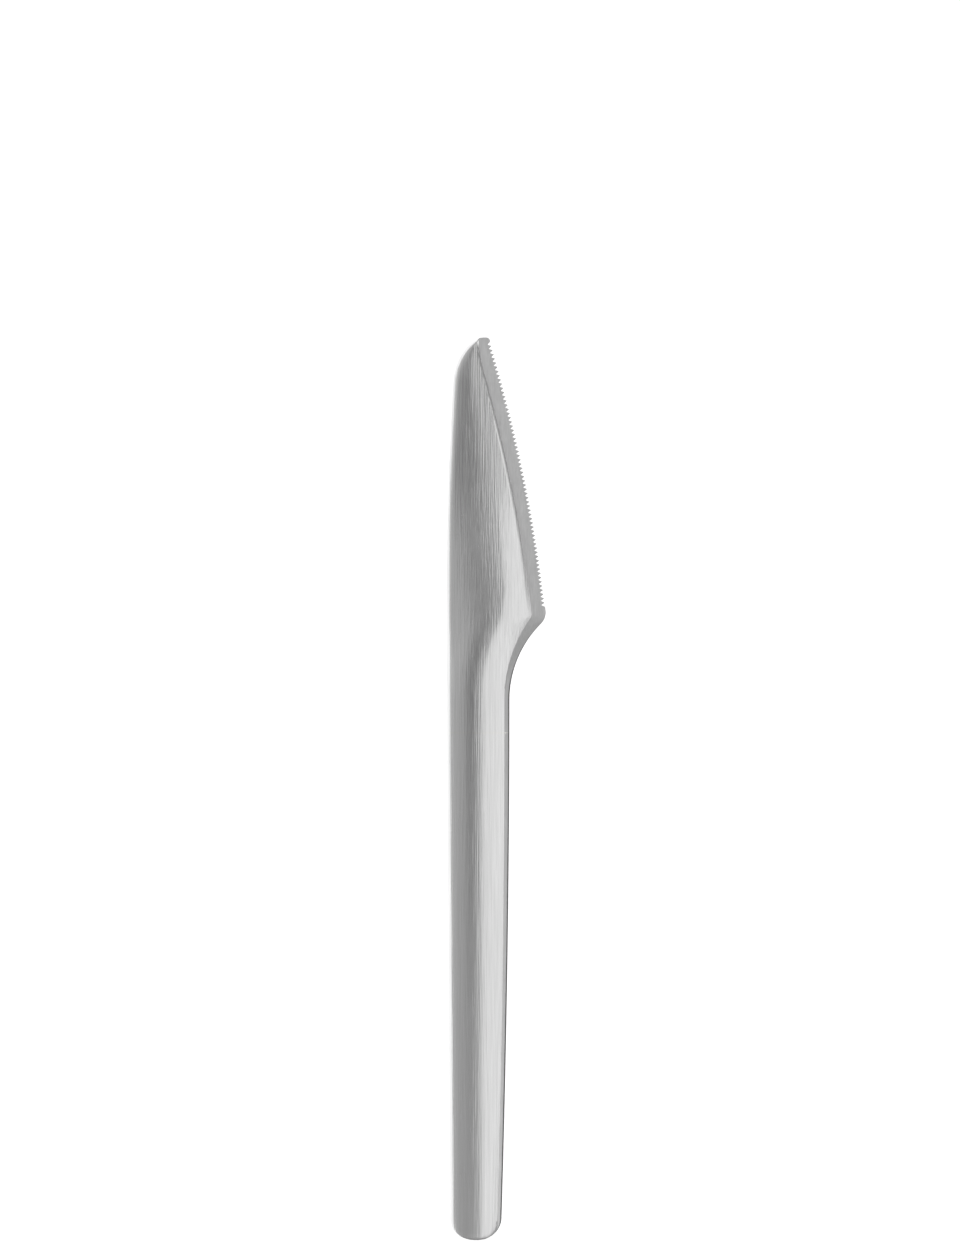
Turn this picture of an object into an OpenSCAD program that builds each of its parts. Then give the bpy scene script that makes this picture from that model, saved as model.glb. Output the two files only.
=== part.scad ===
// Hollow-handle table knife with a fine-toothed edge, lying on its side.
// X runs across from the spine to the edge, Y from the butt to the tip, Z is up.

/* [Handle] */
// Length of the hollow handle, from the butt to the joint with the blade
handle_len = 118; // [100:1:130]
// Width of the handle at the neck, from the spine's line
handle_w = 14.73; // [13.5:0.01:16]
// Width of the handle at the butt, before the end is rounded
butt_w = 11.8; // [10.5:0.1:13.5]
// How far the spine stands in at the butt from its line at the heel
butt_inset = 0.93; // [0.5:0.01:2]
// Thickness of the handle
handle_t = 7; // [6:0.1:9]
// Distance from the line of the spine to the crest along the handle
crest_w = 8.6; // [8.2:0.1:9]
// Width of the flat land beside the crest
land_w = 1.4; // [1:0.1:2]
// Length of the rounded butt, seen from above
butt_round = 4.9; // [3.5:0.1:6]
// Width of the rounding on the edge of the butt
butt_edge_w = 1.6; // [1:0.1:2.4]
// Depth of that rounding
butt_edge_h = 0.45; // [0.2:0.05:0.8]
// Wall of the pressed half shells
shell_wall = 0.8; // [0.6:0.05:1]

/* [Belly strip] */
// Width of the ground strip along the handle's belly, at the neck
strip_w = 1.2; // [0.9:0.05:1.5]
// Width of that strip at the butt
strip_butt_w = 0.95; // [0.8:0.05:1.2]
// Thickness of the handle at the strip's inner line
strip_t = 4.6; // [4:0.1:5.2]
// Thickness of the handle at the strip's outer line
strip_side_t = 2.8; // [2:0.1:3.4]
// Rounding beyond the strip's outer line
strip_side_r = 0.3; // [0.2:0.02:0.4]
// Radius of the strip's inner line where it sweeps out to the heel
strip_sweep_r = 33.2; // [30:0.2:37]

/* [Blade] */
// Greatest width of the knife, from the spine's line to the heel
blade_w = 23.2; // [22:0.1:26]
// Length of the neck between the handle and the sweep out to the heel
neck_len = 7.5; // [4:0.1:12]
// Length of the blade from the widest point of the heel to the tip
heel_to_tip = 64; // [55:0.5:75]
// Radius of the heel
heel_r = 3.9; // [3:0.1:5]
// Radius of the hollow sweep from the handle out to the heel
neck_r = 25.2; // [22:0.2:27]
// Width left at the tip, from the spine's line to the edge
tip_w = 10; // [9.4:0.1:11]
// Bulge of the edge between the heel and the tip
edge_bulge = 1.6; // [1:0.1:2]
// Radius of the spine's curve towards the tip
spine_r = 900; // [700:10:1400]
// Length of the rounded nose
nose_len = 10.6; // [9:0.1:14]
// Width of the rounded nose
nose_w = 6.9; // [5:0.1:7.2]
// Radius of the corner between the nose and the edge
nose_r = 0.9; // [0.5:0.05:1.1]
// Height of the blade's ridge above the shoulder at the heel, on each side
ridge_h = 0.75; // [0.5:0.05:1]
// Width of the broken edge along the blade's spine
spine_edge_w = 1.2; // [0.8:0.1:1.6]
// Height of that broken edge, on each side
spine_edge_h = 0.75; // [0.5:0.05:1.2]
// Distance past the neck's end at which the blade begins to thin
thin_from = 13; // [8:0.5:16]
// Length over which it thins from the handle's thickness to its own
thin_len = 40; // [30:1:48]

/* [Edge] */
// Width of the ground bevel along the edge
bevel_w = 3.4; // [2.8:0.05:4]
// Width of that bevel at the tip
bevel_tip_w = 2.3; // [1.8:0.05:3]
// Rounding of the bevel's corner at the heel
bevel_corner = 0.5; // [0.3:0.1:1.5]
// Thickness of the blade where the bevel begins, at the heel
bevel_t = 3; // [2.4:0.1:3.4]
// Thickness of the blade where the bevel begins, at the tip
bevel_tip_t = 1.9; // [1.4:0.05:2.2]
// Width of the shoulder that the grinding leaves above the bevel, at the heel
shoulder_w = 1.1; // [0.8:0.05:1.4]
// Width of that shoulder at the tip
shoulder_tip_w = 0.55; // [0.3:0.05:0.8]
// Height of that shoulder at the heel, on each side
shoulder_h = 0.45; // [0.2:0.01:0.5]
// Height of that shoulder at the tip, on each side
shoulder_tip_h = 0.46; // [0.2:0.01:0.6]
// Thickness of the edge
edge_t = 0.24; // [0.15:0.01:0.4]
// Spacing of the teeth
tooth_pitch = 1; // [0.8:0.05:2]
// How far the tips of the teeth stand in from the plain edge
tooth_inset = 0.05; // [0.02:0.01:0.2]
// Depth of the notches between the teeth
tooth_depth = 0.8; // [0.5:0.02:0.9]
// Flat left on the tip of each tooth
tooth_flat = 0.1; // [0.05:0.01:0.3]
// Plain edge kept at the heel
plain_heel = 0.8; // [0.5:0.1:3]
// Plain edge kept at the tip
plain_tip = 0.35; // [0.2:0.05:1.5]

/* [Tang] */
// Length of the spigot inside the handle's mouth
spigot_len = 4; // [3:0.1:6]
// Clearance round the spigot
spigot_gap = 0.1; // [0.05:0.01:0.2]
// Length of the tang behind the spigot
tang_len = 45; // [30:1:55]
// Width of the tang
tang_w = 6.4; // [5:0.1:8]
// Thickness of the tang
tang_t = 3; // [2:0.1:3.6]
// Radius of the keying notches in the tang
notch_r = 1.2; // [0.8:0.1:1.5]
// Spacing of the keying notches
notch_pitch = 11; // [6:0.5:14]
// Number of keying notches on each side
notch_count = 3; // [1:1:3]

/* [Filling] */
// Thickness of the brazed joints
braze_t = 0.2; // [0.1:0.02:0.3]
// Length of the cement beyond the end of the tang
cement_tail = 13; // [4:0.5:25]
// Gap left all round the cement
cement_gap = 0.05; // [0.03:0.01:0.1]

/* [Hidden] */

// Share of the body's width, from the spine, at which the blade has its ridge
ridge_share = 0.7;
// Rounding of the ridge's line where it turns at the heel
ridge_corner = 8;
// Greatest share of the blade's height that its broken spine edge takes
spine_edge_share = 0.5;
// Power of the rounded butt's outline: 2 is an ellipse, more is squarer
butt_power = 2.2;
// Powers of the ridge's height along the blade, its fall to the bevel and its fall to the spine
ridge_power = 2.5;
fall_power = 1.7;
face_power = 1.6;
// Powers of the shoulder's fall and of the rounding on the spine edge
shoulder_power = 1.6;
spine_edge_power = 1.7;
// Power of the cavity's rounding on the belly side
cavity_power = 2;
// Width of the body over which the blade thins out at the nose
nose_fade_w = 3;
// Narrowest body kept beside the bevel at the very tip
tip_body_w = 0.06;
// How far one shape runs into or past another where they are joined or cut
overrun = 1;

// Numbers of steps along and round the lofted shapes
butt_steps = 8;
handle_steps = 12;
neck_steps = 10;
heel_steps = 10;
edge_steps = 30;
nose_steps = 14;
spine_points = 12;
fall_points = 6;
shoulder_points = 3;
side_points = 3;
cavity_points = 8;

// Stations along the knife, measured from the butt, with the heel where the two radii of the sweep meet it
sweep_r = neck_r + heel_r;
sweep_out = handle_w + neck_r - (blade_w - heel_r);
sweep_angle = acos(sweep_out / sweep_r);
spigot_s = handle_len - spigot_len;
mouth_s = handle_len - braze_t;
neck_s = handle_len + neck_len;
sweep_end_s = neck_s + neck_r * sin(sweep_angle);
heel_s = neck_s + sweep_r * sin(sweep_angle);
overall_len = heel_s + heel_to_tip;
nose_s = overall_len - nose_len;
mid_z = handle_t / 2;

// Spine: a straight line up to the heel, then a slow curve, then the rounded nose
function spine_line(s) =
    s < heel_s ? butt_inset * (1 - s / heel_s) : pow(s - heel_s, 2) / (2 * spine_r);
function nose_turn(s) =
    s < nose_s ? 0 : nose_w * (1 - sqrt(max(0, 1 - pow((s - nose_s) / nose_len, 2))));

// Belly of the handle, which the neck carries on without a corner
butt_x = butt_inset + butt_w;
function belly_line(s) = handle_w - (handle_w - butt_x) * pow((neck_s - s) / neck_s, 2);

// Edge: a bulged line from the heel to the tip, meeting the heel's radius without a corner
edge_angle = atan((blade_w - tip_w - 4 * edge_bulge) / heel_to_tip);
edge_s = heel_s + heel_r * sin(edge_angle);
edge_x = blade_w - heel_r * (1 - cos(edge_angle));
edge_run = overall_len - edge_s;
function edge_line(s) =
    let (t = (s - edge_s) / edge_run)
    edge_x + (tip_w - edge_x) * t + 4 * edge_bulge * t * (1 - t);
function edge_slope(s) =
    let (t = (s - edge_s) / edge_run)
    (tip_w - edge_x + 4 * edge_bulge * (1 - 2 * t)) / edge_run;

// Small corner between the edge and the end of the nose
tip_angle = atan(-edge_slope(overall_len));
corner_s = overall_len - nose_r;
corner_x = edge_line(corner_s) - nose_r / cos(tip_angle);
corner_from_s = corner_s + nose_r * sin(tip_angle);
nose_top_x = min(spine_line(overall_len) + nose_w, corner_x);

function right_line(s) =
    s < neck_s ? belly_line(s)
    : s < sweep_end_s ? handle_w + neck_r - sqrt(pow(neck_r, 2) - pow(s - neck_s, 2))
    : s < edge_s ? blade_w - heel_r + sqrt(pow(heel_r, 2) - pow(s - heel_s, 2))
    : s < corner_from_s ? edge_line(s)
    : corner_x + sqrt(max(0, pow(nose_r, 2) - pow(s - corner_s, 2)));

// Rounding of the butt: 0 at the very end, 1 from the given length onwards
function round_off(s, length) =
    s >= length ? 1 : s <= 0 ? 0
    : pow(1 - pow(1 - s / length, butt_power), 1 / butt_power);

// Outline in plan, brought in by a wall
function middle(s) = (spine_line(s) + right_line(s)) / 2;
function half_width(s, wall) =
    ((right_line(s) - spine_line(s)) / 2 - wall) * round_off(s - wall, butt_round - wall);
function left_x(s, wall = 0) =
    s > nose_s ? min(spine_line(s) + nose_turn(s), right_line(s) - 2 * tip_body_w)
    : middle(s) - half_width(s, wall);
function right_x(s, wall = 0) = s > nose_s ? right_line(s) : middle(s) + half_width(s, wall);

// How far a station is from the handle, 0, into the blade, 1
function blend(t) = t <= 0 ? 0 : t >= 1 ? 1 : t * t * (3 - 2 * t);
function into_blade(s) = blend((s - neck_s) / (edge_s - neck_s));
function mix(a, b, k) = a + (b - a) * k;

// Inner line of the strip, sweeping out past the neck, and of the bevel that it meets at the heel
function strip_line(s) =
    s < neck_s ? right_line(s) - mix(strip_butt_w, strip_w, s / neck_s)
    : handle_w - strip_w + strip_sweep_r - sqrt(max(0, pow(strip_sweep_r, 2) - pow(s - neck_s, 2)));
function bevel_line(s) =
    let (at_tip = pow(max(0, s - nose_s) / nose_len, 3))
    edge_line(s) - mix(bevel_w, bevel_tip_w, at_tip) / cos(atan(edge_slope(s)));
function crease_line(s, corner) =
    s < neck_s ? strip_line(s)
    : let (
        a = strip_line(s),
        b = bevel_line(s),
        near = max(0, 1 - abs(a - b) / corner)
    ) min(a, b) - near * near * corner / 4;

// How far a place lies from one line to another, between 0 and 1
function across(x, from, to) = max(0, min(1, (x - from) / (to - from)));

// Upper face of the knife at a station, from the spine to the edge, as points across and up
function section(s) = let (
    from = s < nose_s ? spine_line(s) : left_x(s),
    to = right_line(s),
    k = into_blade(s),
    thin = blend((s - neck_s - thin_from) / thin_len),
    from_tip = max(0, 1 - (s - heel_s) / heel_to_tip),
    full_w = to - crease_line(s, bevel_corner),
    facet = min(full_w, to - from - tip_body_w),
    crease_x = to - facet,
    fade = sqrt(min(1, (crease_x - from) / nose_fade_w)),
    side_r = min(mix(strip_side_r, edge_t / 4, k), facet / 3),
    side_h = mix(strip_side_t, edge_t, k) / 2,
    full_h = mix(strip_t, mix(bevel_tip_t, bevel_t, from_tip), k) / 2,
    crease_h = side_h + (full_h - side_h) * facet / full_w,
    step_h = thin * mix(shoulder_tip_h, shoulder_h, from_tip) * fade,
    swell_h = ridge_h * pow(from_tip, ridge_power) * fade,
    crest_h = mix(handle_t / 2, crease_h + step_h + swell_h, thin),
    fall_h = crest_h - crease_h - step_h,
    on_blade = ridge_share * (min(crease_x, crease_line(s, ridge_corner)) - from),
    reach = mix(crest_w - from, on_blade, k),
    crest_x = from + reach,
    round_x = crest_x - min(land_w, 0.2 * reach),
    spine_h = k * min(spine_edge_h, spine_edge_share * crest_h),
    step_w = min(mix(shoulder_tip_w, shoulder_w, from_tip), 0.6 * (crease_x - crest_x)),
    step_x = crease_x - step_w,
    step_power = mix(1, shoulder_power, from_tip)
) concat(
    [for (i = [0 : spine_points]) let (
        a = 90 * i / spine_points,
        x = round_x - (round_x - from) * cos(a),
        spine_edge = 1 - pow(1 - across(x, from, from + spine_edge_w), spine_edge_power)
    ) [x, spine_h * spine_edge + (crest_h - spine_h) * pow(sin(a), mix(1, face_power, k))]],
    [for (i = [0 : fall_points]) let (
        x = mix(crest_x, step_x, i / fall_points)
    ) [x, crest_h - fall_h * pow(across(x, crest_x, crease_x), fall_power)]],
    [for (i = [1 : shoulder_points]) let (
        t = i / shoulder_points,
        x = mix(step_x, crease_x, t),
        fall = fall_h * pow(across(x, crest_x, crease_x), fall_power)
    ) [x, crest_h - fall - step_h * pow(t, step_power)]],
    [for (i = [0 : side_points]) let (a = 90 * i / side_points)
        [to - side_r + side_r * sin(a), side_h * cos(a)]]
);

// The same, cut off at the butt by the rounded outline, with its edge rounded over
function upper_half(s) = s >= butt_round ? section(s) : let (
    full = section(s),
    from = full[0][0],
    last = len(full) - 1,
    to = full[last][0],
    rim = last - side_points,
    xs = [for (p = full) mix(left_x(s), right_x(s), across(p[0], from, to))],
    from_end = 1 - s / butt_round
) [for (i = [0 : last]) let (
    x = xs[i],
    side_fall = i > rim ? cos(90 * (i - rim) / side_points) : 1,
    high = i == 0 ? 0 : side_fall * lookup(min(x, xs[rim]), full),
    off = abs(2 * x - from - to) / (to - from),
    out = pow(pow(from_end, butt_power) + pow(off, butt_power), 1 / butt_power),
    near = 1 - across(butt_round * (1 - out), 0, butt_edge_w)
) [x, max(0, high - butt_edge_h * from_end * (1 - sqrt(1 - near * near)))]];

// Upper half of the handle's cavity at a station, brought in further by a gap
function upper_cavity(s, gap) = let (
    wall = shell_wall + gap,
    from = left_x(s, wall),
    to = right_x(s, wall),
    high = (handle_t / 2 - wall) * round_off(s - wall, wall),
    full = right_line(s) - spine_line(s),
    crest_x = mix(from, to, (crest_w - spine_line(s)) / full),
    round_x = crest_x - (to - from) * land_w / full
) concat(
    [for (i = [0 : cavity_points]) let (a = 90 * i / cavity_points)
        [round_x - (round_x - from) * cos(a), high * sin(a)]],
    [for (i = [0 : cavity_points]) let (t = sin(90 * i / cavity_points))
        [mix(crest_x, to, t), high * pow(max(0, 1 - pow(t, cavity_power)), 1 / cavity_power)]]
);

// Rings in space: a closed ring of both halves, or one half above or below a flat rim
function place(x, s, z) = [x - blade_w / 2, s - overall_len / 2, mid_z + z];
function closed_ring(half, s) = concat(
    [for (p = half) place(p[0], s, p[1])],
    [for (i = [len(half) - 2 : -1 : 1]) place(half[i][0], s, -half[i][1])]
);
function half_ring(half, s, side, rim) = [for (p = half) place(p[0], s, side * max(p[1], rim))];

// Skin over a row of rings, closed at each end by a fan to one point
module loft(rings, start, end, inside_out = false) {
    n = len(rings[0]);
    last = len(rings) - 1;
    points = concat([for (ring = rings) each ring], [start, end]);
    start_i = len(points) - 2;
    end_i = len(points) - 1;
    wall = [for (r = [0 : last - 1], i = [0 : n - 1]) let (
        j = (i + 1) % n, a = r * n + i, b = r * n + j, c = a + n, d = b + n
    ) each [[a, c, b], [b, c, d]]];
    caps = [for (i = [0 : n - 1]) let (j = (i + 1) % n)
        each [[start_i, i, j], [end_i, last * n + j, last * n + i]]];
    faces = concat(wall, caps);
    polyhedron(points, inside_out ? [for (f = faces) [f[0], f[2], f[1]]] : faces);
}

// Stations, from the butt to the tip
function butt_stations(wall, length) =
    [for (i = [1 : butt_steps]) wall + length * (1 - cos(90 * i / butt_steps))];
function even_stations(from, to, steps) = [for (i = [1 : steps]) mix(from, to, i / steps)];
handle_stations = concat(
    butt_stations(0, butt_round), even_stations(butt_round, mouth_s, handle_steps)
);
blade_stations = concat(
    [handle_len, mix(handle_len, neck_s, 0.5)],
    [for (i = [0 : neck_steps]) neck_s + neck_r * sin(sweep_angle * i / neck_steps)],
    [for (i = [1 : heel_steps]) heel_s - heel_r * sin(sweep_angle * (1 - i / heel_steps))],
    [edge_s],
    even_stations(edge_s, nose_s, edge_steps),
    [for (i = [1 : nose_steps - 1]) nose_s + nose_len * sin(90 * i / nose_steps)]
);

function middle_point(s, z) = place(middle(s), s, z);

// Outside of one half of the handle, above or below the brazed seam
module half_skin(side) {
    rim = braze_t / 2;
    loft(
        [for (s = handle_stations) half_ring(upper_half(s), s, side, rim)],
        middle_point(0, side * rim), middle_point(mouth_s, side * handle_t / 4), side < 0
    );
}

// Hollow of the handle between two stations, brought in by a gap
module cavity(from, to, gap = 0) {
    wall = shell_wall + gap;
    closed_end = from <= wall;
    rows = closed_end
        ? concat(butt_stations(wall, butt_round - wall), even_stations(butt_round, to, handle_steps))
        : concat([from], even_stations(from, to, handle_steps));
    loft(
        [for (s = rows) closed_ring(upper_cavity(s, gap), s)],
        middle_point(closed_end ? wall : from, 0), middle_point(to, 0)
    );
}

// Flat tang with half-round keying notches along both sides, grown by a gap
module tang(gap = 0) {
    translate(place(middle(spigot_s), spigot_s, 0))
    difference() {
        translate([-tang_w / 2 - gap, -tang_len - gap, -tang_t / 2 - gap])
            cube([tang_w + 2 * gap, tang_len + gap + overrun, tang_t + 2 * gap]);
        for (i = [1 : notch_count], side = [-1, 1])
            translate([side * tang_w / 2, -tang_len + i * notch_pitch, 0])
                cylinder(r = notch_r - gap, h = handle_t, center = true, $fn = 32);
    }
}

// Notches between the teeth, square to the edge and right through it
module tooth_gaps() {
    half_gap = (tooth_pitch - tooth_flat) / 2;
    half_cut = (tooth_pitch + tooth_flat) / 2;
    toothed_from = edge_s + plain_heel;
    toothed_to = corner_from_s - plain_tip;
    toothed_run = (toothed_to - toothed_from) / cos((edge_angle + tip_angle) / 2);
    count = floor(toothed_run / tooth_pitch);
    translate(place(0, 0, -bevel_t))
        linear_extrude(2 * bevel_t)
            for (i = [0 : count - 1]) {
                s = mix(toothed_from, toothed_to, (i + 0.5) / count);
                translate([edge_line(s), s])
                    rotate(-atan(edge_slope(s)))
                        polygon([
                            [-tooth_inset - tooth_depth, 0],
                            [-tooth_inset, -half_gap], [-tooth_inset, -half_cut],
                            [overrun, -half_cut], [overrun, half_cut],
                            [-tooth_inset, half_cut], [-tooth_inset, half_gap],
                        ]);
            }
}

module blade() {
    color("silver")
    difference() {
        union() {
            loft(
                [for (s = blade_stations) closed_ring(upper_half(s), s)],
                middle_point(handle_len, 0), place(nose_top_x, overall_len, 0)
            );
            cavity(spigot_s, handle_len + overrun, spigot_gap);
            tang();
        }
        tooth_gaps();
    }
}

module handle_shell(side) {
    difference() {
        half_skin(side);
        cavity(shell_wall, handle_len);
    }
}

module handle_front_shell() {
    color("lightgray") handle_shell(1);
}

module handle_rear_shell() {
    color("lightgray") handle_shell(-1);
}

// Outline of the handle in plan, brought in by a wall and ended at a station
module handle_plan(wall, to) {
    rows = concat(
        butt_stations(wall, butt_round - wall), even_stations(butt_round, to, handle_steps)
    );
    polygon(concat(
        [[middle(wall), wall]],
        [for (s = rows) [right_x(s, wall), s]],
        [for (i = [len(rows) - 1 : -1 : 0]) [left_x(rows[i], wall), rows[i]]]
    ));
}

module seam_braze() {
    color("khaki")
    translate(place(0, 0, -braze_t / 2))
        linear_extrude(braze_t)
            difference() {
                handle_plan(0, mouth_s);
                handle_plan(shell_wall, handle_len);
            }
}

module bolster_braze() {
    color("khaki")
    difference() {
        loft(
            [for (s = [mouth_s, handle_len]) closed_ring(upper_half(s), s)],
            middle_point(mouth_s, 0), middle_point(handle_len, 0)
        );
        cavity(spigot_s, handle_len + overrun);
    }
}

module tang_cement() {
    color("tan")
    difference() {
        cavity(spigot_s - tang_len - cement_tail, spigot_s - cement_gap, cement_gap);
        tang(cement_gap);
    }
}

blade();
handle_front_shell();
handle_rear_shell();
seam_braze();
bolster_braze();
tang_cement();
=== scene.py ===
import math

import bmesh
import bpy
import numpy as np
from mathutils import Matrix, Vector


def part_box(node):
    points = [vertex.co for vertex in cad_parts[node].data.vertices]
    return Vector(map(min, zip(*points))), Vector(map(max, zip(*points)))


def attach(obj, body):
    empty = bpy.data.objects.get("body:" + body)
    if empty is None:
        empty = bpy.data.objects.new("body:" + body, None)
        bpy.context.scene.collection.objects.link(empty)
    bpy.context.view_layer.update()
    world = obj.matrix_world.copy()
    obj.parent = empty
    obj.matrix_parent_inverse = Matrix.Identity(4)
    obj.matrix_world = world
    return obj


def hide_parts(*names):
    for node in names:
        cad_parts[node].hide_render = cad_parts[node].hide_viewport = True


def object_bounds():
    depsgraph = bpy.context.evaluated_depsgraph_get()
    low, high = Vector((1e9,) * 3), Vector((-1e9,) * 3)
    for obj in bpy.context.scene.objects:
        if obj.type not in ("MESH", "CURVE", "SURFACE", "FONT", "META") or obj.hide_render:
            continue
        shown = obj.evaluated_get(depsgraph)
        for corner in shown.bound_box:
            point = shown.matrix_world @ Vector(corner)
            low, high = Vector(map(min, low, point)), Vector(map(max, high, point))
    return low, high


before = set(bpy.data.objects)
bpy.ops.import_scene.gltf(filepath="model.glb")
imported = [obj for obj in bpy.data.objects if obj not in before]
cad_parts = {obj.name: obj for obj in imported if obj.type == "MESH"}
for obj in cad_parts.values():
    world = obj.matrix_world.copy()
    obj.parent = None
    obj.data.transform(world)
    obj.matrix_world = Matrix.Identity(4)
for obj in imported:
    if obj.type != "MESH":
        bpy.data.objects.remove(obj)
cad_low, cad_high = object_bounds()

# Blade
# One forging of stainless steel, ground to a rounded spine and a toothed bevel. Its neck carries on the
# handle's shape, and behind the neck are the spigot and the notched tang that hold it in the handle.
MM = 0.001
blade_w = (cad_high[0] - cad_low[0]) / MM
knife_len = (cad_high[1] - cad_low[1]) / MM
handle_t = (cad_high[2] - cad_low[2]) / MM
joint_low, joint_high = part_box("bolster_braze")
handle_len = joint_high[1] / MM + knife_len / 2
braze_t = (joint_high[1] - joint_low[1]) / MM

# Outline of the whole knife, in millimetres: s runs from the butt to the tip, x from the spine to the edge.
handle_w = 14.73
butt_w = 11.8
butt_inset = 0.93
butt_round = 4.9
butt_power = 2.2  # 2 is an ellipse, more is squarer
neck_len = 7.5
neck_r = 25.2
heel_r = 3.9
heel_to_tip = 64.0
spine_r = 900.0
tip_w = 10.0
edge_bulge = 1.6
nose_len = 10.6
nose_w = 6.9
nose_r = 0.9
tip_body_w = 0.06  # narrowest body kept beside the bevel at the very tip

neck_s = handle_len + neck_len
sweep_r = neck_r + heel_r
sweep_angle = math.acos((handle_w + neck_r - blade_w + heel_r) / sweep_r)
sweep_end_s = neck_s + neck_r * math.sin(sweep_angle)
heel_s = neck_s + sweep_r * math.sin(sweep_angle)
nose_s = knife_len - nose_len
edge_angle = math.atan((blade_w - tip_w - 4 * edge_bulge) / heel_to_tip)
edge_s = heel_s + heel_r * math.sin(edge_angle)
edge_x = blade_w - heel_r * (1 - math.cos(edge_angle))
edge_run = knife_len - edge_s


def mix(a, b, k):
    return a + (b - a) * k


def root(value):
    return np.sqrt(np.maximum(value, 0))


def turned(s, start, end):
    """How far the knife has turned from one shape to the next between two stations."""
    t = np.clip((s - start) / (end - start), 0, 1)
    return t * t * (3 - 2 * t)


def rounded(s, length):
    """Rounding of the butt: 0 at the very end, 1 from this length onwards."""
    t = np.clip(s / length, 0, 1)
    return (1 - (1 - t) ** butt_power) ** (1 / butt_power)


def spine_line(s):
    """The spine: straight up to the heel, then a slow curve."""
    straight = butt_inset * (1 - s / heel_s)
    return np.where(s < heel_s, straight, (s - heel_s) ** 2 / (2 * spine_r))


def edge_line(s):
    """The edge: a bulged line from the heel to the tip."""
    t = (s - edge_s) / edge_run
    return mix(edge_x, tip_w, t) + 4 * edge_bulge * t * (1 - t)


def edge_lean(s):
    """Angle between the edge and the knife's length."""
    t = (s - edge_s) / edge_run
    return np.arctan((edge_x - tip_w - 4 * edge_bulge * (1 - 2 * t)) / edge_run)


tip_angle = float(edge_lean(knife_len))
corner_s = knife_len - nose_r
corner_x = edge_line(corner_s) - nose_r / math.cos(tip_angle)
corner_from_s = corner_s + nose_r * math.sin(tip_angle)


def belly_line(s):
    """The belly of the handle, the sweep out to the heel, the heel, the edge and the corner at the tip."""
    drop = handle_w - butt_inset - butt_w
    return np.select(
        [s < neck_s, s < sweep_end_s, s < edge_s, s < corner_from_s],
        [
            handle_w - drop * ((neck_s - s) / neck_s) ** 2,
            handle_w + neck_r - root(neck_r**2 - (s - neck_s) ** 2),
            blade_w - heel_r + root(heel_r**2 - (s - heel_s) ** 2),
            edge_line(s),
        ],
        corner_x + root(nose_r**2 - (s - corner_s) ** 2),
    )


def sides(s, wall=0.0):
    """Where the spine side and the belly side lie, rounded at both ends and brought in by a wall."""
    spine, belly = spine_line(s), belly_line(s)
    middle = (spine + belly) / 2
    half = ((belly - spine) / 2 - wall) * rounded(s - wall, butt_round - wall)
    turn = nose_w * (1 - root(1 - (np.maximum(s - nose_s, 0) / nose_len) ** 2))
    left = np.where(s > nose_s, np.minimum(spine + turn, belly - 2 * tip_body_w), middle - half)
    return left, np.where(s > nose_s, belly, middle + half)


# Strip ground along the handle's belly, which sweeps out at the heel and becomes the bevel of the edge.
strip_w = 1.2
strip_butt_w = 0.95
strip_sweep_r = 33.2
bevel_w = 3.4
bevel_tip_w = 2.3
bevel_corner = 0.5


def crease_line(s, corner_r):
    """Line between the satin face and the ground strip or bevel, with its corner at the heel rounded off."""
    along = np.clip(s / neck_s, 0, 1)
    sweep = strip_sweep_r - root(strip_sweep_r**2 - np.maximum(s - neck_s, 0) ** 2)
    strip = np.where(
        s < neck_s, belly_line(s) - mix(strip_butt_w, strip_w, along), handle_w - strip_w + sweep
    )
    at_tip = (np.maximum(s - nose_s, 0) / nose_len) ** 3
    bevel = edge_line(s) - mix(bevel_w, bevel_tip_w, at_tip) / np.cos(edge_lean(s))
    near = np.maximum(0, 1 - np.abs(strip - bevel) / corner_r)
    return np.where(s < neck_s, strip, np.minimum(strip, bevel) - near**2 * corner_r / 4)


# Section across the knife. On the handle it rises from the spine to a crest and falls to the strip. On the
# blade it has a broken edge along the spine, a ridge, and a shoulder left by the grinding above the bevel.
crest_w = 8.0
land_w = 0.4
land_share = 0.1  # most of the crest's distance that the land may take
strip_t = 4.6
strip_side_t = 2.8
strip_side_r = 0.3
thin_from = 13.0
thin_len = 40.0
ridge_share = 0.7  # of the body's width, from the spine
ridge_h = 0.75
ridge_power = 2.5  # of its height, from the tip to the heel
ridge_corner = 8.0  # rounding of its line where it turns at the heel
fall_power = 1.7  # from the crest to the crease
face_power = 1.6  # from the ridge to the spine
spine_edge_w = 1.2
spine_edge_h = 0.75
spine_edge_share = 0.5  # most of the height that the broken edge may take
spine_edge_power = 1.7
shoulder_w = 1.1
shoulder_tip_w = 0.55
shoulder_share = 0.6  # most of the fall that the shoulder may take
shoulder_h = 0.45
shoulder_tip_h = 0.46
shoulder_power = 1.6
bevel_t = 3.0
bevel_tip_t = 1.9
edge_t = 0.24
nose_fade_w = 3.0  # width of body below which the ridge and the shoulder fade

# Points across one face, from the spine to the edge.
spine_row = np.radians(np.linspace(0, 90, 37))
land_row = np.linspace(0, 1, 4)[1:-1]
fall_row = np.linspace(0, 1, 17)
step_row = np.linspace(0, 1, 9)[1:]
facet_row = np.linspace(0, 1, 5)[1:-1]
side_row = np.radians(np.linspace(0, 90, 6))
first_ground = len(spine_row) + len(land_row) + len(fall_row) + len(step_row) - 1
first_side = first_ground + len(facet_row) + 1
across = first_side + len(side_row)


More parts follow.
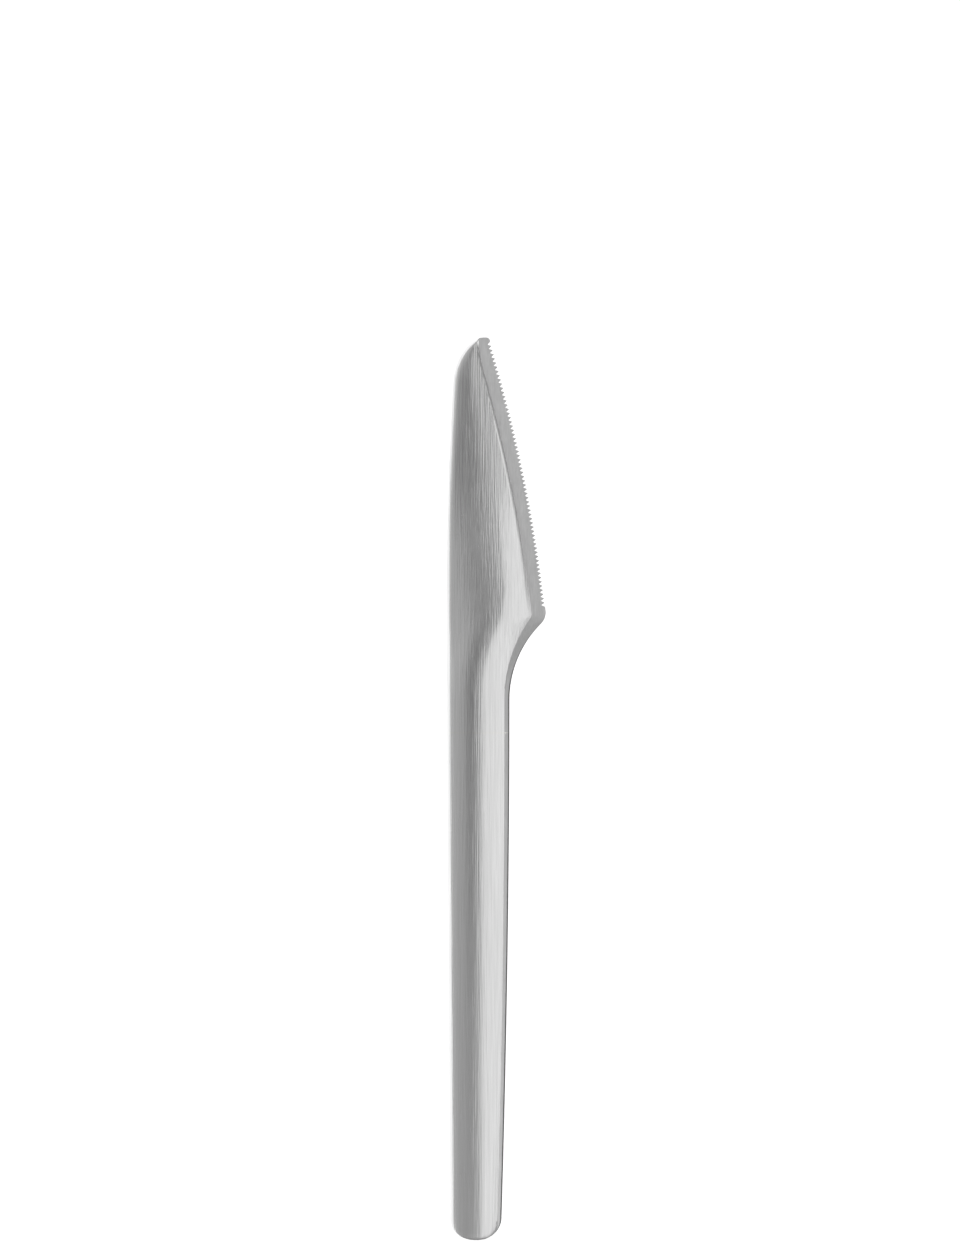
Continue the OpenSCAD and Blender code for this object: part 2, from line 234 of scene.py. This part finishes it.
def face(s, cut=0.0):
    """The upper face at each station: places across, along and up, with the edge cut back by the teeth."""
    s = np.asarray(s, float)[:, None]
    cut = np.broadcast_to(np.asarray(cut, float), (len(s),))[:, None]
    nose_left, nose_right = sides(s)
    left = np.where(s < nose_s, spine_line(s), nose_left)
    right = np.where(s < nose_s, belly_line(s), nose_right)

    # How far the handle's section has turned into the blade's, and how far it still is from the tip.
    k = turned(s, neck_s, edge_s)
    thin = turned(s, neck_s + thin_from, neck_s + thin_from + thin_len)
    from_tip = np.maximum(1 - (s - heel_s) / heel_to_tip, 0)

    # Strip or bevel, with the small rounding on its outer side.
    full_w = belly_line(s) - crease_line(s, bevel_corner)
    facet = np.minimum(full_w, right - left - tip_body_w)
    body = right - left - facet
    crease_x = right - facet
    side_r = np.minimum(mix(strip_side_r, edge_t / 4, k), facet / 3)
    side_h = mix(strip_side_t, edge_t, k) / 2
    full_h = mix(strip_t, mix(bevel_tip_t, bevel_t, from_tip), k) / 2
    crease_h = side_h + (full_h - side_h) * facet / full_w

    # Heights of the shoulder and of the crest or ridge, which both fade out at the nose.
    fade = root(np.minimum(1, body / nose_fade_w))
    step_h = thin * mix(shoulder_tip_h, shoulder_h, from_tip) * fade
    crest_h = mix(handle_t / 2, crease_h + step_h + ridge_h * from_tip**ridge_power * fade, thin)
    fall_h = crest_h - crease_h - step_h

    # Places across, from the spine over the crest and the shoulder to the crease.
    on_blade = ridge_share * (np.minimum(crease_x, crease_line(s, ridge_corner)) - left)
    reach = mix(crest_w - left, on_blade, k)
    crest_x = left + reach
    round_x = crest_x - np.minimum(land_w, land_share * reach)
    spine_x = round_x - (round_x - left) * np.cos(spine_row)
    spine_h = k * np.minimum(spine_edge_h, spine_edge_share * crest_h)
    spine_edge = 1 - np.clip(1 - (spine_x - left) / spine_edge_w, 0, 1) ** spine_edge_power
    land_x = mix(round_x, crest_x, land_row)
    step_w = np.minimum(mix(shoulder_tip_w, shoulder_w, from_tip), shoulder_share * (crease_x - crest_x))
    fall_x = mix(crest_x, crease_x - step_w, fall_row)
    step_x = mix(crease_x - step_w, crease_x, step_row)

    def fall(x):
        return fall_h * ((x - crest_x) / (crease_x - crest_x)) ** fall_power

    # The teeth cut the rim back square to the edge.
    lean = edge_lean(s)
    rim_x = right - side_r - cut * np.cos(lean)
    rim_h = side_h + (crease_h - side_h) * cut / facet
    back = cut * np.sin(lean)

    x = [
        spine_x,
        land_x,
        fall_x,
        step_x,
        mix(crease_x, rim_x, facet_row),
        rim_x + side_r * np.sin(side_row),
    ]
    up = [
        spine_h * spine_edge + (crest_h - spine_h) * np.sin(spine_row) ** mix(1, face_power, k),
        crest_h + 0 * land_x,
        crest_h - fall(fall_x),
        crest_h - fall(step_x) - step_h * step_row ** mix(1, shoulder_power, from_tip),
        mix(crease_h, rim_h, facet_row),
        rim_h * np.cos(side_row),
    ]
    along = s - np.hstack([back * np.zeros(first_ground + 1), back * facet_row, back + 0 * side_row])
    return np.hstack(x), along, np.hstack(up)


def place(x, along, up):
    """Points of the knife in metres, in the shared frame."""
    x, along, up = np.broadcast_arrays(x, along, up)
    return np.stack([x - blade_w / 2, along - knife_len / 2, up + handle_t / 2], -1) * MM


def both_faces(x, along, up):
    """Closed rings from the upper face and its mirror image below."""
    return np.concatenate([place(x, along, up), place(x, along, -up)[:, -2:0:-1]], 1)


def quads(rows, count, wrap=False):
    """Faces between neighbouring closed rings, and with wrap also from the last ring to the first."""
    here = np.arange(rows * count).reshape(rows, count)
    after = np.roll(here, -1, 1)
    if not wrap:
        return np.stack([here[:-1], after[:-1], after[1:], here[1:]], -1).reshape(-1, 4).tolist()
    up = np.roll(here, -1, 0)
    return np.stack([here, after, np.roll(after, -1, 0), up], -1).reshape(-1, 4).tolist()


weld_gap = 0.0001 * MM
crisp_angle = 24


def build(name, points, faces, finish, materials):
    """A smooth mesh with crisp corners; finish gives each face the number of its material."""
    mesh = bpy.data.meshes.new(name)
    mesh.from_pydata(points.reshape(-1, 3).tolist(), [], faces)
    for material in materials:
        mesh.materials.append(material)
    mesh.polygons.foreach_set("material_index", np.asarray(finish, np.int32))
    solid = bmesh.new()
    solid.from_mesh(mesh)
    bmesh.ops.remove_doubles(solid, verts=solid.verts, dist=weld_gap)
    bmesh.ops.dissolve_degenerate(solid, edges=solid.edges, dist=weld_gap)
    for one in solid.faces:
        one.smooth = True
    solid.to_mesh(mesh)
    solid.free()
    mesh.set_sharp_from_angle(angle=math.radians(crisp_angle))
    piece = bpy.data.objects.new(name, mesh)
    bpy.context.scene.collection.objects.link(piece)
    return piece


# Teeth: V notches square to the edge, with their tips a little in from the plain edge at the heel.
tooth_pitch = 1.0
tooth_inset = 0.05
tooth_depth = 0.8
tooth_flat = 0.1
plain_heel = 0.8
plain_tip = 0.35
steps_per_tooth = 8
toothed_from, toothed_to = edge_s + plain_heel, corner_from_s - plain_tip
tooth_count = int((toothed_to - toothed_from) / math.cos((edge_angle + tip_angle) / 2) / tooth_pitch)
tooth_steps = tooth_count * steps_per_tooth
toothed_s = np.linspace(toothed_from, toothed_to, tooth_steps + 1)
tip_share = np.abs((np.arange(tooth_steps + 1) / steps_per_tooth + 0.5) % 1 - 0.5) * 2
flat_share = tooth_flat / tooth_pitch
toothed_cut = tooth_inset + tooth_depth * np.clip((tip_share - flat_share) / (1 - flat_share), 0, 1)

# Stations from the neck to the tip, close together where the outline turns.
beside_teeth = 0.02
tip_from = toothed_to + beside_teeth
neck_run = np.linspace(handle_len, neck_s, 9)
sweep_run = neck_s + neck_r * np.sin(np.linspace(0, sweep_angle, 41)[1:])
heel_run = heel_s - heel_r * np.sin(np.linspace(sweep_angle, -edge_angle, 31)[1:])
plain_run = np.linspace(edge_s, toothed_from - beside_teeth, 7)[1:]
end_run = tip_from + (knife_len - tip_from) * np.sin(np.linspace(0, math.pi / 2, 33))[:-1]
blade_s = np.concatenate([neck_run, sweep_run, heel_run, plain_run, toothed_s, end_run])
blade_cut = np.concatenate([
    np.zeros(len(blade_s) - len(end_run) - len(toothed_s)), toothed_cut, np.zeros(len(end_run)),
])
outer_rings = both_faces(*face(blade_s, blade_cut))

# Spigot and tang: the spigot follows the handle's cavity, and the tang is a flat bar with half-round notches.
shell_wall = 0.8
cavity_power = 2.0
spigot_gap = 0.1
spigot_len = 4.0
tang_len = 45.0
tang_w = 6.4
tang_t = 3.0
notch_r = 1.2
notch_pitch = 11.0
notch_count = 3
spigot_s = handle_len - spigot_len
notch_s = spigot_s - tang_len + notch_pitch * np.arange(1, notch_count + 1)


def cavity_face(s, gap=0.0):
    """The upper face of the handle's cavity at each station, brought in further by a gap."""
    s = np.asarray(s, float)[:, None]
    wall = shell_wall + gap
    left, right = sides(s, wall)
    full = belly_line(s) - spine_line(s)
    high = (handle_t / 2 - wall) * rounded(s - wall, wall)
    crest_x = mix(left, right, (crest_w - spine_line(s)) / full)
    round_x = crest_x - (right - left) * land_w / full
    turn = np.radians(np.linspace(0, 90, across // 2))
    out = np.sin(np.radians(np.linspace(0, 90, across - across // 2)))
    x = np.hstack([round_x - (round_x - left) * np.cos(turn), mix(crest_x, right, out)])
    up = np.hstack([np.sin(turn), np.maximum(1 - out**cavity_power, 0) ** (1 / cavity_power)])
    return x, s, high * up


def tang_face(s):
    """The upper face of the tang at each station: a flat top between two square sides."""
    s = np.asarray(s, float)[:, None]
    bite = root(notch_r**2 - (s - notch_s) ** 2).max(1, keepdims=True)
    middle = float((spine_line(spigot_s) + belly_line(spigot_s)) / 2)
    way = np.linspace(0, 4, across)
    x = middle + (tang_w / 2 - bite) * np.clip(way - 2, -1, 1)
    return x, s, tang_t / 2 * np.clip(2 - np.abs(way - 2), 0, 1) + 0 * s


notch_run = notch_r * np.cos(np.linspace(math.pi, 0, 13))
tang_s = np.concatenate([[spigot_s - tang_len], np.add.outer(notch_s, notch_run).ravel(), [spigot_s]])
inner_rings = np.concatenate([
    both_faces(*tang_face(tang_s)),
    both_faces(*cavity_face([spigot_s, handle_len], spigot_gap)),
])

# The rings joined up from the end of the tang to the tip, and closed at both ends. Finish 0 is the satin
# face, 1 the ground strip or bevel, with its colour darkened as painted shade, and 2 the side that the strip
# has up to the heel, painted near-black as shade.
blade_rings = np.concatenate([inner_rings, outer_rings])
rows, ring_size = blade_rings.shape[:2]
nose_point = place(min(float(spine_line(knife_len)) + nose_w, corner_x), knife_len, 0.0)
blade_points = np.concatenate([blade_rings.reshape(-1, 3), inner_rings[:1].mean(1), nose_point[None]])
blade_faces = quads(rows, ring_size)
last = (rows - 1) * ring_size
for j in range(ring_size):
    after = (j + 1) % ring_size
    blade_faces.append([after, j, rows * ring_size])
    blade_faces.append([last + j, last + after, rows * ring_size + 1])
ring_columns = np.arange(ring_size)
ring_columns = np.minimum(ring_columns, ring_size - 1 - ring_columns)
ring_finish = np.where(ring_columns >= first_ground, 1, 0)
before_heel = len(inner_rings) + int(np.searchsorted(blade_s, heel_s))
blade_finish = np.zeros((rows - 1, ring_size), int)
blade_finish[len(inner_rings) :] = ring_finish
# Up to the heel, the strip's side is painted near-black as shade.
blade_finish[len(inner_rings) : before_heel] = np.where(ring_columns >= first_side, 2, ring_finish)
blade_finish = np.concatenate([blade_finish.ravel(), np.tile([0, 1], ring_size)])

# Scratches along the knife, left by a finishing belt or a grinding wheel: fine ones mixed with broader ones.
brush = bpy.data.node_groups.new("belt_brushing", "ShaderNodeTree")
for label, kind, value in (
    ("Fine Grain", "NodeSocketVector", (2600.0, 60.0, 2600.0)),
    ("Broad Grain", "NodeSocketVector", (1100.0, 40.0, 1100.0)),
    ("Broad Share", "NodeSocketFloat", 0.5),
):
    brush.interface.new_socket(name=label, in_out="INPUT", socket_type=kind).default_value = value
brush.interface.new_socket(name="Grain", in_out="OUTPUT", socket_type="NodeSocketFloat")
brush_in, brush_out = brush.nodes.new("NodeGroupInput"), brush.nodes.new("NodeGroupOutput")
brush_place = brush.nodes.new("ShaderNodeTexCoord")
brush_mix = brush.nodes.new("ShaderNodeMix")
brush_range = brush.nodes.new("ShaderNodeMapRange")
brush_range.inputs["From Min"].default_value = 0.28
brush_range.inputs["From Max"].default_value = 0.72
for label, detail, socket in (("Fine Grain", 2.0, "A"), ("Broad Grain", 3.0, "B")):
    stretch = brush.nodes.new("ShaderNodeVectorMath")
    stretch.operation = "MULTIPLY"
    noise = brush.nodes.new("ShaderNodeTexNoise")
    noise.inputs["Scale"].default_value = 1.0
    noise.inputs["Detail"].default_value = detail
    brush.links.new(brush_place.outputs["Object"], stretch.inputs[0])
    brush.links.new(brush_in.outputs[label], stretch.inputs[1])
    brush.links.new(stretch.outputs[0], noise.inputs["Vector"])
    brush.links.new(noise.outputs["Fac"], brush_mix.inputs[socket])
brush.links.new(brush_in.outputs["Broad Share"], brush_mix.inputs["Factor"])
brush.links.new(brush_mix.outputs["Result"], brush_range.inputs["Value"])
brush.links.new(brush_range.outputs["Result"], brush_out.inputs["Grain"])


def metal(name, dark, light, smooth, rough, depth, fine_grain, broad_grain, broad_share):
    """Bare metal whose scratches change its colour a little, its roughness and its surface."""
    material = bpy.data.materials.new(name)
    material.use_nodes = True
    nodes, links = material.node_tree.nodes, material.node_tree.links
    shader = nodes["Principled BSDF"]
    shader.inputs["Metallic"].default_value = 1.0
    scratches = nodes.new("ShaderNodeGroup")
    scratches.node_tree = brush
    scratches.inputs["Fine Grain"].default_value = fine_grain
    scratches.inputs["Broad Grain"].default_value = broad_grain
    scratches.inputs["Broad Share"].default_value = broad_share
    tone = nodes.new("ShaderNodeMix")
    tone.data_type = "RGBA"
    tone.inputs["A"].default_value = (*dark, 1)
    tone.inputs["B"].default_value = (*light, 1)
    links.new(scratches.outputs["Grain"], tone.inputs["Factor"])
    links.new(tone.outputs["Result"], shader.inputs["Base Color"])
    gloss = nodes.new("ShaderNodeMapRange")
    gloss.inputs["To Min"].default_value = rough
    gloss.inputs["To Max"].default_value = smooth
    links.new(scratches.outputs["Grain"], gloss.inputs["Value"])
    links.new(gloss.outputs["Result"], shader.inputs["Roughness"])
    bump = nodes.new("ShaderNodeBump")
    bump.inputs["Distance"].default_value = depth
    links.new(scratches.outputs["Grain"], bump.inputs["Height"])
    links.new(bump.outputs["Normal"], shader.inputs["Normal"])
    return material


def dull(material):
    """Takes the glint off a side painted dark as shade, where it is seen at a low angle."""
    material.node_tree.nodes["Principled BSDF"].inputs["Specular Tint"].default_value = (0.2, 0.2, 0.2, 1)


satin_belt = {
    "smooth": 0.18, "rough": 0.28, "depth": 0.000022,
    "fine_grain": (3000.0, 70.0, 3000.0), "broad_grain": (1900.0, 40.0, 1900.0), "broad_share": 0.15,
}
grinding_wheel = {
    "depth": 0.000004,
    "fine_grain": (4000.0, 300.0, 4000.0), "broad_grain": (1500.0, 150.0, 1500.0), "broad_share": 0.3,
}
satin_steel = metal("satin_steel", (0.74, 0.74, 0.74), (0.82, 0.82, 0.82), **satin_belt)
# The ground strip and bevel: rougher than the satin face, which is real, and its colour darkened as painted
# shade.
ground_steel_painted_shade = metal(
    "ground_steel_painted_shade", (0.52, 0.52, 0.52), (0.6, 0.6, 0.6), smooth=0.42, rough=0.52, **grinding_wheel
)
# Painted shade: a near-black steel for the sides along the belly and round the butt, in place of a dark
# reflection.
painted_shade_steel = metal(
    "painted_shade_steel", (0.14, 0.14, 0.14), (0.22, 0.22, 0.22), smooth=0.4, rough=0.55, **grinding_wheel
)
dull(painted_shade_steel)
finishes = [satin_steel, ground_steel_painted_shade, painted_shade_steel]

blade = build("forged_blade", blade_points, blade_faces, blade_finish, finishes)
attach(blade, "root")
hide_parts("blade")

# Tang cement
# A mineral cement poured into the front of the handle, where it sets round the tang and in its notches.
cement = bpy.data.materials.new("set_cement")
cement.use_nodes = True
cement_nodes, cement_links = cement.node_tree.nodes, cement.node_tree.links
cement_shader = cement_nodes["Principled BSDF"]
cement_shader.inputs["Roughness"].default_value = 0.85
cement_place = cement_nodes.new("ShaderNodeTexCoord")
cement_grit = cement_nodes.new("ShaderNodeTexNoise")
cement_grit.inputs["Scale"].default_value = 1800.0
cement_grit.inputs["Detail"].default_value = 4.0
cement_tone = cement_nodes.new("ShaderNodeMix")
cement_tone.data_type = "RGBA"
cement_tone.inputs["A"].default_value = (0.36, 0.32, 0.26, 1)
cement_tone.inputs["B"].default_value = (0.6, 0.55, 0.47, 1)
cement_bump = cement_nodes.new("ShaderNodeBump")
cement_bump.inputs["Distance"].default_value = 0.00008
cement_links.new(cement_place.outputs["Object"], cement_grit.inputs["Vector"])
cement_links.new(cement_grit.outputs["Fac"], cement_tone.inputs["Factor"])
cement_links.new(cement_tone.outputs["Result"], cement_shader.inputs["Base Color"])
cement_links.new(cement_grit.outputs["Fac"], cement_bump.inputs["Height"])
cement_links.new(cement_bump.outputs["Normal"], cement_shader.inputs["Normal"])
cement_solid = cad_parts["tang_cement"]
cement_solid.data.materials.clear()
cement_solid.data.materials.append(cement)

# Handle shells
# Two halves pressed from thin stainless sheet, brazed edge to edge and brushed as one with the blade. The
# side along the belly and the end of the butt are painted a darker grey, as shade.
butt_edge_w = 1.6
butt_edge_h = 0.45
rim = braze_t / 2
mouth_s = handle_len - braze_t
butt_run = butt_round * (1 - np.cos(np.linspace(0, math.pi / 2, 49)))
handle_s = np.concatenate([butt_run, np.linspace(butt_round, mouth_s, 121)[1:]])
inner_s = shell_wall + handle_s * (mouth_s - shell_wall) / mouth_s


def handle_face(s):
    """The handle's upper face, cut off by the butt's rounded outline, with a radius on the edge there."""
    x, along, up = face(s)
    spine, belly = spine_line(s), belly_line(s)
    end_left, end_right = sides(s)
    for one in np.flatnonzero(s < butt_round):
        share = (x[one] - spine[one]) / (belly[one] - spine[one])
        place_x = mix(end_left[one], end_right[one], share)
        high = np.interp(place_x, x[one], up[one])
        high[first_side:] = high[first_side] * np.cos(side_row)
        high[0] = 0
        off = np.abs(2 * place_x - spine[one] - belly[one]) / (belly[one] - spine[one])
        from_end = 1 - s[one] / butt_round
        deep = butt_round * (1 - (from_end**butt_power + off**butt_power) ** (1 / butt_power))
        broken = 1 - root(1 - np.clip(1 - deep / butt_edge_w, 0, 1) ** 2)
        x[one], up[one] = place_x, np.maximum(high - butt_edge_h * from_end * broken, 0)
    return x, along, up


loop_finish = np.zeros((len(handle_s) - 1, 2 * across), int)
loop_finish[:, first_ground:first_side] = 1
# The side along the belly, and the spine side round the butt, get the painted shade.
loop_finish[:, first_side:across] = 2
loop_finish[handle_s[:-1] < butt_round, 0] = 2
shell_finish = np.concatenate([loop_finish.ravel(), np.zeros(across - 1, int)])

for name, node, side in (
    ("front_half", "handle_front_shell", 1), ("rear_half", "handle_rear_shell", -1),
):
    x, along, up = handle_face(handle_s)
    outside = place(x, along, side * np.maximum(up, rim))
    x, along, up = cavity_face(inner_s)
    inside = place(x, along, side * np.maximum(up, rim))
    loops = np.concatenate([outside, inside[:, ::-1]], 1)
    shell_faces = quads(*loops.shape[:2])
    mouth = (len(handle_s) - 1) * 2 * across
    for j in range(across - 1):
        far = mouth + 2 * across - 1 - j
        shell_faces.append([mouth + j, mouth + j + 1, far - 1, far])
    if side < 0:
        shell_faces = [one[::-1] for one in shell_faces]
    shell = build(name, loops, shell_faces, shell_finish, finishes)
    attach(shell, "root")
    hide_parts(node)

# Seam braze
# A pale silver brazing alloy drawn into the joint between the two halves, and dressed flush along the spine,
# round the butt and along the belly.
braze_alloy = metal("braze_alloy", (0.75, 0.74, 0.71), (0.83, 0.82, 0.79), **satin_belt)
# Painted shade: a near-black alloy for the seam's outer face round the butt and along the belly, to match the
# dark side.
painted_shade_alloy = metal(
    "painted_shade_alloy", (0.14, 0.14, 0.13), (0.22, 0.22, 0.21), smooth=0.4, rough=0.55, **grinding_wheel
)
dull(painted_shade_alloy)
alloy_finishes = [braze_alloy, painted_shade_alloy]
outer_left, outer_right = sides(handle_s)
inner_left, inner_right = sides(inner_s, shell_wall)
seam_out = np.concatenate([outer_left[::-1], outer_right[1:]])
seam_in = np.concatenate([inner_left[::-1], inner_right[1:]])
seam_out_s = np.concatenate([handle_s[::-1], handle_s[1:]])
seam_in_s = np.concatenate([inner_s[::-1], inner_s[1:]])
seam_rings = np.stack([
    place(seam_out, seam_out_s, rim), place(seam_in, seam_in_s, rim),
    place(seam_in, seam_in_s, -rim), place(seam_out, seam_out_s, -rim),
], 1)
seam_faces = quads(len(seam_rings), 4)
last = 4 * (len(seam_rings) - 1)
seam_faces += [[3, 2, 1, 0], [last, last + 1, last + 2, last + 3]]
seam_finish = np.zeros((len(seam_rings) - 1, 4), int)
# The seam's outer face round the butt and along the belly gets the painted shade.
seam_finish[len(handle_s) - len(butt_run) :, 3] = 1
seam_finish = np.concatenate([seam_finish.ravel(), [0, 0]])
seam = build("seam_line", seam_rings, seam_faces, seam_finish, alloy_finishes)
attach(seam, "root")
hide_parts("seam_braze")

# Bolster braze
# The same alloy in a thin ring between the handle's mouth and the blade's neck, brushed over with the steel.
collar_s = [mouth_s, handle_len]
collar_out = both_faces(*face(collar_s))
collar_in = both_faces(*cavity_face(collar_s))
collar_rings = np.stack([collar_out[0], collar_out[1], collar_in[1], collar_in[0]])
collar_faces = quads(4, ring_size, wrap=True)
collar_finish = np.zeros((4, ring_size), int)
# The collar's side along the belly gets the painted shade.
collar_finish[0] = ring_columns >= first_side
collar = build("collar_line", collar_rings, collar_faces, collar_finish.ravel(), alloy_finishes)
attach(collar, "root")
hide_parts("bolster_braze")

# Studio
# A white paper floor, a soft tent that is dark overhead to the left and bright to the right, and a camera
# straight above.
floor_size = 8.0
floor_gap = 0.00005
bpy.ops.mesh.primitive_plane_add(size=floor_size, location=(0, 0, -floor_gap))
floor = bpy.context.object
floor.name = "floor"
paper = bpy.data.materials.new("white_paper")
paper.use_nodes = True
paper_shader = paper.node_tree.nodes["Principled BSDF"]
paper_shader.inputs["Base Color"].default_value = (0.85, 0.85, 0.85, 1)
paper_shader.inputs["Roughness"].default_value = 0.8
paper_shader.inputs["Emission Color"].default_value = (1, 1, 1, 1)
paper_shader.inputs["Emission Strength"].default_value = 0.72
floor.data.materials.append(paper)

world = bpy.data.worlds.new("studio_tent")
bpy.context.scene.world = world
world.use_nodes = True
tent, tent_links = world.node_tree.nodes, world.node_tree.links


def tent_math(operation, *values):
    """A sum on numbers and on the outputs of other nodes."""
    node = tent.new("ShaderNodeMath")
    node.operation = operation
    for socket, value in zip(node.inputs, values):
        if isinstance(value, (int, float)):
            socket.default_value = value
        else:
            tent_links.new(value, socket)
    return node.outputs[0]


def tent_range(value, low, high, to_low, to_high):
    """A smooth step from one level to another while the value goes from low to high."""
    node = tent.new("ShaderNodeMapRange")
    node.interpolation_type = "SMOOTHSTEP"
    for socket, amount in zip(node.inputs[1:5], (low, high, to_low, to_high)):
        socket.default_value = amount
    tent_links.new(value, node.inputs[0])
    return node.outputs[0]


def tent_ramp(angle, stops):
    """Light levels at angles from -90 to 90 degrees."""
    node = tent.new("ShaderNodeValToRGB")
    node.color_ramp.interpolation = "EASE"
    elements = node.color_ramp.elements
    for _ in stops[2:]:
        elements.new(0.5)
    for element, (degrees, level) in zip(elements, stops):
        element.position = (degrees + 90) / 180
        element.color = (level, level, level, 1)
    tent_links.new(tent_math("MULTIPLY_ADD", angle, 1 / 180, 0.5), node.inputs[0])
    return node.outputs[0]


# Angles of the light in degrees from straight above: to the right, and towards the knife's tip.
way = tent.new("ShaderNodeTexCoord")
parts = tent.new("ShaderNodeSeparateXYZ")
tent_links.new(way.outputs["Generated"], parts.inputs[0])
degree = 180 / math.pi
to_right = tent_math("MULTIPLY", tent_math("ARCTAN2", parts.outputs["X"], parts.outputs["Z"]), degree)
to_tip = tent_math("MULTIPLY", tent_math("ARCSINE", parts.outputs["Y"]), degree)

# Light across the tent: a dark patch hangs askew overhead, and the left wall is brighter towards the tip.
sweep_light = tent_ramp(to_right, [
    (-90, 0.6), (-70, 0.54), (-50, 0.46), (-30, 0.43), (-8, 0.42), (-3, 0.42), (4.5, 0.78),
    (10, 0.84), (25, 0.9), (50, 0.95), (62, 0.5), (75, 0.26), (90, 0.22),
])
patch_right, patch_tip, patch_skew = -13.0, 1.2, 0.7
patch_half_w, patch_half_len = 15.0, 8.0
patch_middle = tent_math("MULTIPLY_ADD", to_tip, patch_skew, patch_right)
off_right = tent_math("DIVIDE", tent_math("SUBTRACT", to_right, patch_middle), patch_half_w)
off_tip = tent_math("DIVIDE", tent_math("SUBTRACT", to_tip, patch_tip), patch_half_len)
off_patch = tent_math("SQRT", tent_math(
    "ADD", tent_math("MULTIPLY", off_right, off_right), tent_math("MULTIPLY", off_tip, off_tip)
))
patch = tent_range(off_patch, 0.3, 1.05, 0.15, 1.0)
left_wall = tent_range(to_right, -30.0, -12.0, 1.0, 0.0)
left_light = tent_range(to_tip, -6.0, 6.0, 0.83, 1.1)
left_gain = tent_math("MULTIPLY_ADD", left_wall, tent_math("SUBTRACT", left_light, 1.0), 1.0)
level = tent_math("MULTIPLY", tent_math("MULTIPLY", sweep_light, patch), left_gain)

# The two ends of the tent have a light of their own.
ends_light = tent_ramp(to_tip, [
    (-90, 0.1), (-50, 0.3), (-20, 0.45), (20, 0.6), (50, 0.65), (75, 0.3), (90, 0.15),
])
ends = tent_range(tent_math("ABSOLUTE", to_tip), 16.0, 50.0, 0.0, 1.0)
level = tent_math("ADD", level, tent_math("MULTIPLY", ends, tent_math("SUBTRACT", ends_light, level)))
tent_links.new(level, tent["Background"].inputs["Color"])
bpy.context.scene.view_settings.view_transform = "Standard"

# The camera looks straight down, and its frame is as high as the photo at the scale of the knife.
photo_h = 1255
mm_per_px = 0.23307
aim_x, aim_y = -3.73, 37.4
camera_height = 1.0
camera_data = bpy.data.cameras.new("camera")
camera_data.lens = camera_data.sensor_width * camera_height / (photo_h * mm_per_px * MM)
camera_data.clip_end = 20
camera = bpy.data.objects.new("camera", camera_data)
camera.location = (aim_x * MM, aim_y * MM, camera_height + handle_t / 2 * MM)
bpy.context.scene.collection.objects.link(camera)
bpy.context.scene.camera = camera
